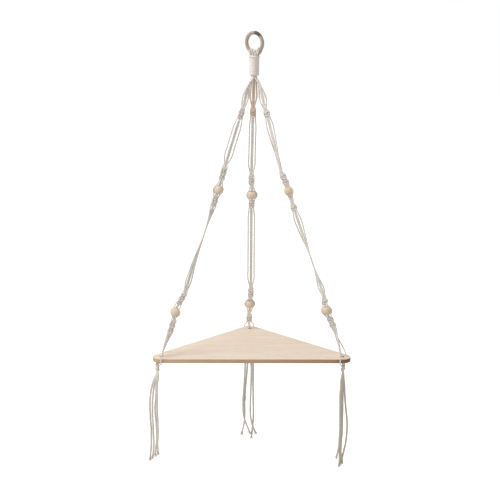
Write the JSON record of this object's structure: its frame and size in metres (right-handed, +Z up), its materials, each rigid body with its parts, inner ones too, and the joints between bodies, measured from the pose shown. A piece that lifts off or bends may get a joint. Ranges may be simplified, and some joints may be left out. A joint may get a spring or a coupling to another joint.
{
  "type": "hanging rope corner shelf",
  "caption": "Three-cornered wooden shelf board hung from a wooden ring by knotted cotton cord straps with beads, and tassels under its corners.",
  "frame": {"origin": "top of the ring's eye, where a hook holds the shelf", "axes": "+Z up, +Y into the corner of the room, +X to the right seen from the room, along the board's long edge"},
  "size_m": [0.4631, 0.2501, 1.0199],
  "materials": {
    "ring_wood": "satin",
    "cotton_cord": "matte",
    "bead_wood": "satin",
    "board_wood": "satin"
  },
  "bodies": {
    "ring": {"hanging_ring": "ring_wood"},
    "hanger": {"cord_1": "cotton_cord", "cord_2": "cotton_cord", "cord_3": "cotton_cord", "cord_4": "cotton_cord", "cord_5": "cotton_cord", "cord_6": "cotton_cord", "gathering_wrap": "cotton_cord", "shelf_board": "board_wood"},
    "left_upper_bead": {"bead_left_upper": "bead_wood"},
    "left_lower_bead": {"bead_left_lower": "bead_wood"},
    "right_upper_bead": {"bead_right_upper": "bead_wood"},
    "right_lower_bead": {"bead_right_lower": "bead_wood"},
    "back_upper_bead": {"bead_back_upper": "bead_wood"},
    "back_lower_bead": {"bead_back_lower": "bead_wood"},
    "left_tassel": {"tail_left_1": "cotton_cord", "tail_left_2": "cotton_cord", "tail_left_3": "cotton_cord", "tail_left_4": "cotton_cord"},
    "right_tassel": {"tail_right_1": "cotton_cord", "tail_right_2": "cotton_cord", "tail_right_3": "cotton_cord", "tail_right_4": "cotton_cord"},
    "back_tassel": {"tail_back_1": "cotton_cord", "tail_back_2": "cotton_cord", "tail_back_3": "cotton_cord", "tail_back_4": "cotton_cord"}
  },
  "joints": [
    {"name": "hanger_swing", "type": "hinge", "parent": "ring", "child": "hanger", "pos_m": [0, 0, -0.0364], "axis": [0.766, -0.6428, 0], "range_deg": [-9, 9]},
    {"name": "left_upper_bead_turn", "type": "hinge", "parent": "hanger", "child": "left_upper_bead", "pos_m": [-0.07854, -0.02684, -0.34278], "axis": [-0.3059, -0.0947, -0.9473], "continuous": true},
    {"name": "left_lower_bead_turn", "type": "hinge", "parent": "hanger", "child": "left_lower_bead", "pos_m": [-0.17446, -0.05459, -0.62039], "axis": [-0.3059, -0.0947, -0.9473], "continuous": true},
    {"name": "right_upper_bead_turn", "type": "hinge", "parent": "hanger", "child": "right_upper_bead", "pos_m": [0.07991, -0.02686, -0.34467], "axis": [0.3057, -0.0951, -0.9474], "continuous": true},
    {"name": "right_lower_bead_turn", "type": "hinge", "parent": "hanger", "child": "right_lower_bead", "pos_m": [0.16931, -0.05417, -0.61661], "axis": [0.3057, -0.0951, -0.9474], "continuous": true},
    {"name": "back_upper_bead_turn", "type": "hinge", "parent": "hanger", "child": "back_upper_bead", "pos_m": [-0.00026, 0.06504, -0.37426], "axis": [0.0003, 0.214, -0.9768], "continuous": true},
    {"name": "back_lower_bead_turn", "type": "hinge", "parent": "hanger", "child": "back_lower_bead", "pos_m": [-0.00084, 0.12681, -0.65627], "axis": [0.0003, 0.214, -0.9768], "continuous": true},
    {"name": "left_tassel_swing", "type": "hinge", "parent": "hanger", "child": "left_tassel", "pos_m": [-0.21551, -0.06696, -0.7604], "axis": [-0.3827, 0.9239, 0], "range_deg": [-20, 20]},
    {"name": "right_tassel_swing", "type": "hinge", "parent": "hanger", "child": "right_tassel", "pos_m": [0.20947, -0.06604, -0.7604], "axis": [-0.3827, -0.9239, 0], "range_deg": [-20, 20]},
    {"name": "back_tassel_swing", "type": "hinge", "parent": "hanger", "child": "back_tassel", "pos_m": [-0.003, 0.14142, -0.7604], "axis": [1, 0, 0], "range_deg": [-20, 20]}
  ]
}
